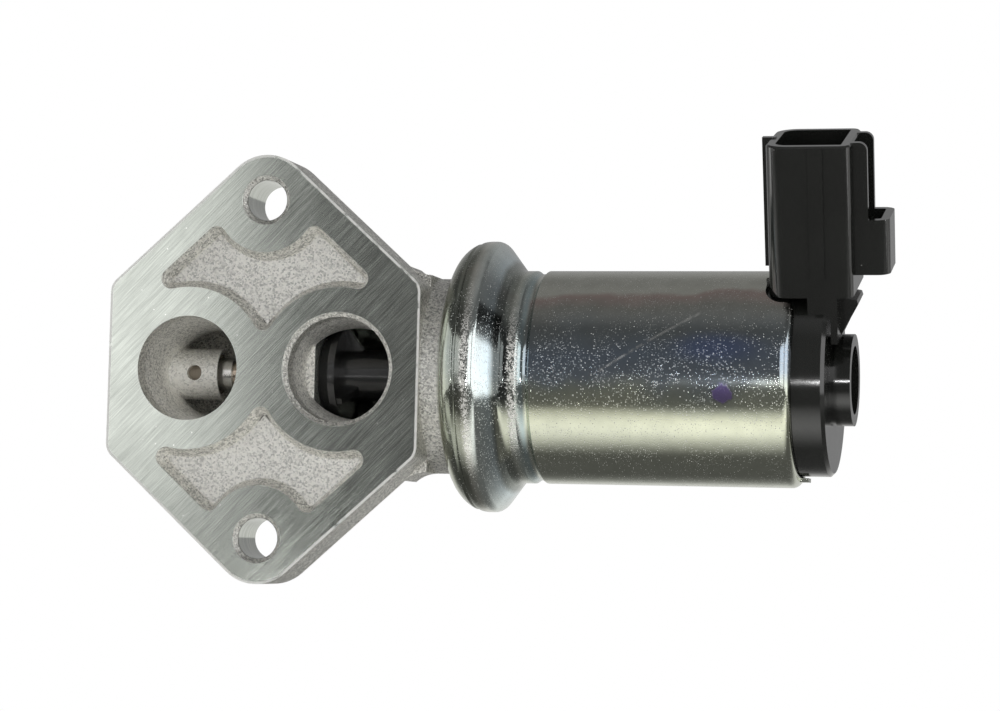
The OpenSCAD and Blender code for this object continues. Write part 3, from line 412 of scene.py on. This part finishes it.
def cast_alloy():
    """Sand-cast aluminium with painted glints and painted light, with a milled mounting face and
    turned bores.
    """
    g = material("cast_alloy")
    place = g.place()
    x, y, z = g.split(place)
    radius, _ = round_axis(g, y, z)
    face = g.step(y, 0.08 * MM, 0.03 * MM)
    edge = edge_burrs_and_painted_highlight(g, place, x, y, z)
    chamber, bolt_bore = turned_bores(g, x, y, z, radius)
    turned = g.highest(chamber, bolt_bore)
    smooth = g.highest(face, turned)

    in_port = inside_ports(g, x, y, z)
    on_boss = g.step(radius, BOSS_RADIUS + 2 * MM, BOSS_RADIUS)
    recess_floor = g.inside(y, RECESS_DEPTH - 0.15 * MM, RECESS_DEPTH + 0.05 * MM, 0.1 * MM)
    barrel = g.inside(x, BARREL_X, BARREL_END_X, 0.7 * MM)
    # Painted light: the recess floors, the barrel and the walls in the ports, more on the boss
    painted_light = g.highest(g.product(recess_floor, 0.18), g.product(barrel, 0.50),
                        g.product(in_port, g.total(0.12, g.product(on_boss, 0.24))))
    grain, shade = g.cells(0.30 * MM, place)
    cast = cast_colour(g, place, shade, painted_light)
    strokes, stroke_depth = milling_strokes(g, x, z)
    milled = milled_colour(g, place, strokes, stroke_depth)

    chamber_rings = g.streaks(g.product(x, 4200), g.product(y, 50), g.product(z, 50))
    hole_rings = g.streaks(g.product(y, 2600), g.product(x, 60), g.product(z, 60))
    rings = g.pick(bolt_bore, chamber_rings, hole_rings)
    turned_colour = g.tint(TURNED_GREY, g.total(0.6, g.product(rings, 0.7)))

    colour = g.blend(turned, g.blend(face, cast, milled), turned_colour)
    # Painted highlight along the rim, broken by burrs
    colour = g.blend(edge, colour, EDGE_HIGHLIGHT_WHITE)

    sand = g.noise(0.5 * MM, place, detail=3)
    smear = g.noise(6 * MM, place, detail=4)
    cast_rough = g.total(g.product(sand, 0.2), 0.42)
    smooth_rough = g.total(0.09, g.product(smear, 0.11))
    roughness = g.highest(g.pick(smooth, cast_rough, smooth_rough), g.product(edge, 0.6))
    grains = g.product(g.total(g.product(grain, 0.5), sand), g.minus(1.0, smooth))
    bump = g.bump(grains, 0.16 * MM)
    bump = g.bump(g.product(strokes, stroke_depth, face), 0.005 * MM, bump)
    bump = g.bump(g.product(rings, turned), 0.02 * MM, bump)
    metallic = g.minus(1.0, g.product(in_port, 0.25))
    return g.principled(Base_Color=colour, Metallic=metallic, Roughness=roughness, Normal=bump)


def passivation_and_painted_light(g, x, wander, turn):
    """The passivation tints with painted light: bands round the can and along the bell, and
    painted shade and a painted highlight in the groove.
    """
    film_and_painted_light = g.ramp(g.step(turn, -180, 180), CAN_FILM_AND_PAINTED_BANDS)
    along_bell = g.node("MapRange", {0: wander, 1: BELL_FILM_X, 2: BELL_FILM_END_X}).outputs[0]
    on_bell = g.step(x, CAN_X, CAN_X - 1 * MM)
    film_and_painted_light = g.blend(g.product(on_bell, 0.85), film_and_painted_light, g.ramp(along_bell, BELL_FILM_AND_PAINTED_BANDS))
    groove = g.inside(wander, GROOVE_X, GROOVE_END_X, 0.4 * MM)
    # Painted shade and a painted highlight in the groove, at set angles
    for low, high, colour in GROOVE_PAINTED_LIGHT_BANDS:
        film_and_painted_light = g.blend(g.product(groove, g.inside(turn, low, high, 8), 0.8), film_and_painted_light, colour)
    return film_and_painted_light


def rough_bends_and_highlight(g, place, wander, angle):
    """The bell's two rough bends, with a painted highlight towards the front, and how high their
    flakes are.
    """
    flake, kind = g.cells(0.26 * MM, place)
    ragged = g.total(wander, g.product(g.minus(kind, 0.5), 0.9 * MM))
    bends = g.highest(*(g.inside(ragged, *bend, 0.4 * MM) for bend in (FRONT_BEND_X, REAR_BEND_X)))
    # Painted highlight: only towards the front
    front = g.step(g.size(g.minus(angle, BEND_HIGHLIGHT_ANGLE)), BEND_HIGHLIGHT_GONE, BEND_HIGHLIGHT_FULL)
    rough_bend_and_highlight = g.product(bends, front, g.step(kind, 0.15, 0.7, 0.15, 1.0))
    return rough_bend_and_highlight, g.product(flake, rough_bend_and_highlight)


def case_specks(g, place):
    """Bright specks in clumps, with finer dust among them."""
    speck, kind = g.cells(0.34 * MM, place)
    clump = g.noise(6 * MM, place, detail=3)
    few = g.step(clump, 0.32, 0.60, 0.80, 0.42)
    specks = g.product(g.step(speck, 0.34, 0.14), g.step(g.minus(kind, few), 0.0, 0.1))
    grain, dust_kind = g.cells(0.22 * MM, place)
    dust = g.product(g.step(grain, 0.45, 0.2), g.step(dust_kind, 0.55, 0.95),
                     g.step(clump, 0.30, 0.56))
    return g.highest(g.product(specks, g.step(kind, 0.6, 1.0, 0.35, 1.0)), g.product(dust, 0.6))


def case_scratch(g, place, x, angle):
    """A fine, broken scratch that slants across the can."""
    start_x, start_angle = SCRATCH_START
    end_x, end_angle = SCRATCH_END
    slope = (end_angle - start_angle) / (end_x - start_x)
    beside = g.minus(g.minus(angle, start_angle), g.product(g.minus(x, start_x), slope))
    broken = g.step(g.noise(1.2 * MM, place, detail=4), 0.32, 0.55)
    return g.product(g.step(g.size(beside), 1.4, 0.3), g.inside(x, start_x, end_x, 1 * MM), broken)


def round_case(g, angle, start):
    """The length round the case from an angle."""
    return g.product(g.minus(angle, start), math.radians(1) * CASE_RADIUS)


def ink_mark(g, place, x, angle):
    """A small blot of ink with a wavy outline."""
    blot = g.length(g.minus(x, INK_X), round_case(g, angle, INK_ANGLE), b_weight=1.4)
    wavy = g.total(blot, g.product(g.noise(1.3 * MM, place, detail=3), 2.2 * MM))
    return g.step(wavy, 3.2 * MM, 2.5 * MM, 0.0, 0.85)


def blue_sheen(g, x, angle):
    """A soft blue sheen, long in the direction of X."""
    away = g.length(g.minus(x, SHEEN_X), round_case(g, angle, SHEEN_ANGLE), a_weight=0.12)
    return g.product(g.step(away, 3.6 * MM, 0.6 * MM), 0.65)


def passivated_case():
    """Zinc-plated sheet steel with yellow and blue passivation, specks, a scratch and an ink mark,
    with painted reflections, shade and highlights.
    """
    g = material("passivated_case")
    place = g.place()
    x, y, z = g.split(place)
    _, angle = round_axis(g, y, z)
    drift = g.minus(g.noise(14 * MM, place, detail=3), 0.5)
    turn = g.total(angle, g.product(drift, 26))
    wander = g.total(x, g.product(drift, 1.0 * MM))
    rough_bend_and_highlight, flakes = rough_bends_and_highlight(g, place, wander, angle)
    specks = g.highest(case_specks(g, place), g.product(case_scratch(g, place, x, angle), 0.5))
    ink = ink_mark(g, place, x, angle)

    film_and_painted_light = g.blend(rough_bend_and_highlight, passivation_and_painted_light(g, x, wander, turn), BEND_HIGHLIGHT_WHITE)
    mottle = g.noise(2.2 * MM, place, detail=4)
    colour = g.tint(film_and_painted_light, g.total(0.86, g.product(mottle, 0.28)))
    colour = g.blend(blue_sheen(g, x, angle), colour, SHEEN_BLUE)
    colour = g.blend(specks, colour, SPECK_WHITE)
    colour = g.blend(ink, colour, INK_VIOLET)
    haze = g.noise(3 * MM, place, detail=4)
    roughness = g.highest(g.total(g.product(haze, 0.08), 0.07), g.product(specks, 0.55),
                          g.product(ink, 0.4), g.product(rough_bend_and_highlight, 0.36))
    bump = g.bump(haze, 0.012 * MM)
    bump = g.bump(g.minus(1.0, specks), 0.02 * MM, bump)
    bump = g.bump(flakes, 0.06 * MM, bump)
    return g.principled(Base_Color=colour, Metallic=1.0, Roughness=roughness, Normal=bump)


def moulded_plastic(name, colour, roughness, speck_share=0.97):
    """Injection-moulded plastic with a faint ripple and a few bright specks of dust."""
    g = material(name)
    place = g.place()
    flow = g.noise(12 * MM, place)
    speck, kind = g.cells(0.8 * MM, place)
    specks = g.product(g.step(speck, 0.14, 0.05), g.step(kind, speck_share, speck_share + 0.01))
    shaded = g.tint(colour, g.total(0.7, g.product(flow, 0.6)))
    shaded = g.blend(g.product(specks, 0.5), shaded, DUST_GREY)
    rough = g.total(roughness - 0.05, g.product(g.noise(5 * MM, place, detail=4), 0.1))
    bump = g.bump(g.noise(1.6 * MM, place, detail=3), 0.010 * MM)
    return g.principled(Base_Color=shaded, Roughness=rough, Specular_IOR_Level=0.9, Normal=bump)


def turned_metal(name, colour, roughness, front_colour=None):
    """Metal turned about the shaft's axis, with fine rings along X. The front colour, where
    there is one, reaches back to the end of the shaft's journal."""
    g = material(name)
    place = g.place()
    x, y, z = g.split(place)
    rings = g.streaks(g.product(x, 1 / (0.12 * MM)), g.product(y, 60), g.product(z, 60))
    stain = g.noise(3 * MM, place, detail=3)
    if front_colour:
        in_front = g.step(x, JOURNAL_END_X + 0.1 * MM, JOURNAL_END_X)
        colour = g.blend(in_front, colour, front_colour)
    light = g.total(g.product(rings, 0.35), g.total(0.6, g.product(stain, 0.4)))
    rough = g.total(roughness - 0.06, g.product(stain, 0.12))
    return g.principled(Base_Color=g.tint(colour, light), Metallic=1.0, Roughness=rough,
                        Normal=g.bump(rings, 0.006 * MM))


def rubber():
    """Dull black rubber with a faint bloom."""
    g = material("rubber")
    place = g.place()
    bloom = g.noise(2 * MM, place, detail=4)
    colour = g.tint(RUBBER_BLACK, g.total(0.6, g.product(bloom, 0.9)))
    bump = g.bump(g.noise(0.3 * MM, place), 0.01 * MM)
    return g.principled(Base_Color=colour, Roughness=0.62, Normal=bump)


def copper_wire():
    """Enamelled wire, wound in turns along X, with painted shade between the turns."""
    g = material("copper_wire")
    place = g.place()
    x = g.split(place)[0]
    turns = g.size(g.calc("SINE", g.product(x, math.pi / (0.35 * MM))))
    gloss = g.noise(4 * MM, place)
    # Painted shade: darker between the turns
    colour = g.tint(COPPER, g.total(0.35, g.product(turns, g.total(0.4, gloss))))
    bump = g.bump(turns, 0.1 * MM)
    return g.principled(Base_Color=colour, Metallic=0.9, Roughness=0.3, Normal=bump)


LOOKS = {
    "cast_alloy": cast_alloy(),
    "passivated_case": passivated_case(),
    "cap_plastic": moulded_plastic("cap_plastic", rgb(0.009, 0.0095, 0.0085), 0.12),
    "valve_plastic": moulded_plastic("valve_plastic", rgb(0.012, 0.012, 0.012), 0.22, 0.99),
    "bobbin_plastic": moulded_plastic("bobbin_plastic", rgb(0.50, 0.42, 0.28), 0.45, 0.99),
    "bronze": turned_metal("bronze", rgb(0.30, 0.26, 0.21), 0.42),
    "brass": turned_metal("brass", rgb(0.66, 0.50, 0.22), 0.28),
    "shaft_steel": turned_metal("shaft_steel", rgb(0.50, 0.42, 0.34), 0.22, rgb(0.66, 0.65, 0.62)),
    "plated_iron": turned_metal("plated_iron", rgb(0.48, 0.50, 0.50), 0.34),
    "spring_steel": turned_metal("spring_steel", rgb(0.52, 0.53, 0.54), 0.25),
    "tin_plate": turned_metal("tin_plate", rgb(0.68, 0.68, 0.66), 0.24),
    "rubber": rubber(),
    "copper_wire": copper_wire(),
}


def dress_nodes():
    """Gives every CAD node the material of its slot in the record."""
    for part in frame["record"]["subparts"]:
        slots = frame["nodes"][part["node"]].data.materials
        slots.clear()
        slots.append(LOOKS[part["material_slot"]])


def shorten_spring():
    """A copy of the return spring with a mesh of its own, on the valve housing in place of the CAD
    node.
    """
    spring = bpy.data.objects.new("spring_coils", frame["nodes"]["return_spring"].data.copy())
    scene.collection.objects.link(spring)
    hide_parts("return_spring")
    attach(spring, "valve_housing")
    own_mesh(spring)


def make_camera():
    data = bpy.data.cameras.new("camera")
    data.sensor_width = SENSOR_WIDTH
    data.lens = CAMERA_LENS
    data.clip_start = CLIP_START
    camera = bpy.data.objects.new("camera", data)
    scene.collection.objects.link(camera)
    aim = (CAMERA_TARGET - CAMERA_PLACE).to_track_quat("-Z", "Y")
    camera.rotation_mode = "QUATERNION"
    camera.location = CAMERA_PLACE
    camera.rotation_quaternion = aim @ Quaternion((0, 0, 1), CAMERA_ROLL)
    scene.camera = camera


def softbox(name, place, target, size, radiance, shown_in_gloss):
    """A rectangular lamp of the given width, height and brightness, turned to its target."""
    data = bpy.data.lights.new(name, "AREA")
    data.shape = "RECTANGLE"
    data.size, data.size_y = size
    data.energy = radiance * math.pi * size[0] * size[1]
    lamp = bpy.data.objects.new(name, data)
    scene.collection.objects.link(lamp)
    lamp.location = place
    lamp.rotation_mode = "QUATERNION"
    lamp.rotation_quaternion = (Vector(target) - Vector(place)).to_track_quat("-Z", "Y")
    lamp.visible_camera = False
    lamp.visible_glossy = shown_in_gloss


def make_lights():
    for lamp in LAMPS:
        softbox(*lamp)


def make_world():
    """White behind the part, and dim for what the part reflects from the other sides."""
    world = bpy.data.worlds.new("studio")
    scene.world = world
    g = Graph(world)
    ray = g.node("LightPath").outputs
    _, y, z = g.split(g.node("TexCoord").outputs["Generated"])
    mirrored = g.total(g.step(z, 0.72, 0.95, 0.13, 0.25), g.step(y, 0.35, 0.9, 0.0, 0.22))
    scattered = g.step(y, 0.1, 0.6, 0.30, 0.90)
    room = g.pick(ray["Is Glossy Ray"], scattered, mirrored)
    ambient = g.node("Background", {0: WHITE, 1: room}).outputs[0]
    backdrop = g.node("Background", {0: WHITE, 1: 1.0}).outputs[0]
    seen = g.node("MixShader", {0: ray["Is Camera Ray"], 1: ambient, 2: backdrop}).outputs[0]
    g.node("OutputWorld", {"Surface": seen})


def floor_paper():
    """Pale paper that turns white far off, and lights the part's gloss from the front and back,
    with a painted shadow between.
    """
    g = material("floor")
    place = g.place()
    x, y, _ = g.split(place)
    ray = g.node("LightPath").outputs
    distance = g.length(x, y)
    far = g.product(g.step(distance, PALE_DISTANCE, WHITE_DISTANCE), ray["Is Camera Ray"])
    paper = g.tint(PAPER, g.total(0.99, g.product(g.noise(0.03, place), 0.02)))
    diffuse = g.node("BsdfDiffuse", {0: paper}).outputs[0]
    white = g.node("Emission", {0: WHITE, 1: 1.0}).outputs[0]
    paper_to_white = g.node("MixShader", {0: far, 1: diffuse, 2: white}).outputs[0]
    in_front = g.product(g.step(y, *FRONT_GLOW_Y), g.step(y, *FRONT_GLOW_END_Y),
                         g.step(distance, 0.6, 0.25))
    lit = g.total(g.product(in_front, 1.05), g.step(y, *BACK_GLOW_Y, 0.13, 0.75))
    glow = g.node("Emission", {0: WARM_GLOW, 1: lit}).outputs[0]
    inputs = {0: ray["Is Glossy Ray"], 1: paper_to_white, 2: glow}
    return g.surface(g.node("MixShader", inputs).outputs[0])


def make_floor():
    """A pale floor that keeps the shadow near the part and runs out to white."""
    half = FLOOR_SIZE / 2
    outline = ((-half, -half), (half, -half), (half, half), (-half, half))
    mesh = bpy.data.meshes.new("floor")
    mesh.from_pydata([(x, y, FLOOR_Z) for x, y in outline], [], [(0, 1, 2, 3)])
    mesh.materials.append(floor_paper())
    floor = bpy.data.objects.new("floor", mesh)
    scene.collection.objects.link(floor)


dress_nodes()
shorten_spring()
make_camera()
make_lights()
make_world()
make_floor()
scene.view_settings.view_transform = "Standard"
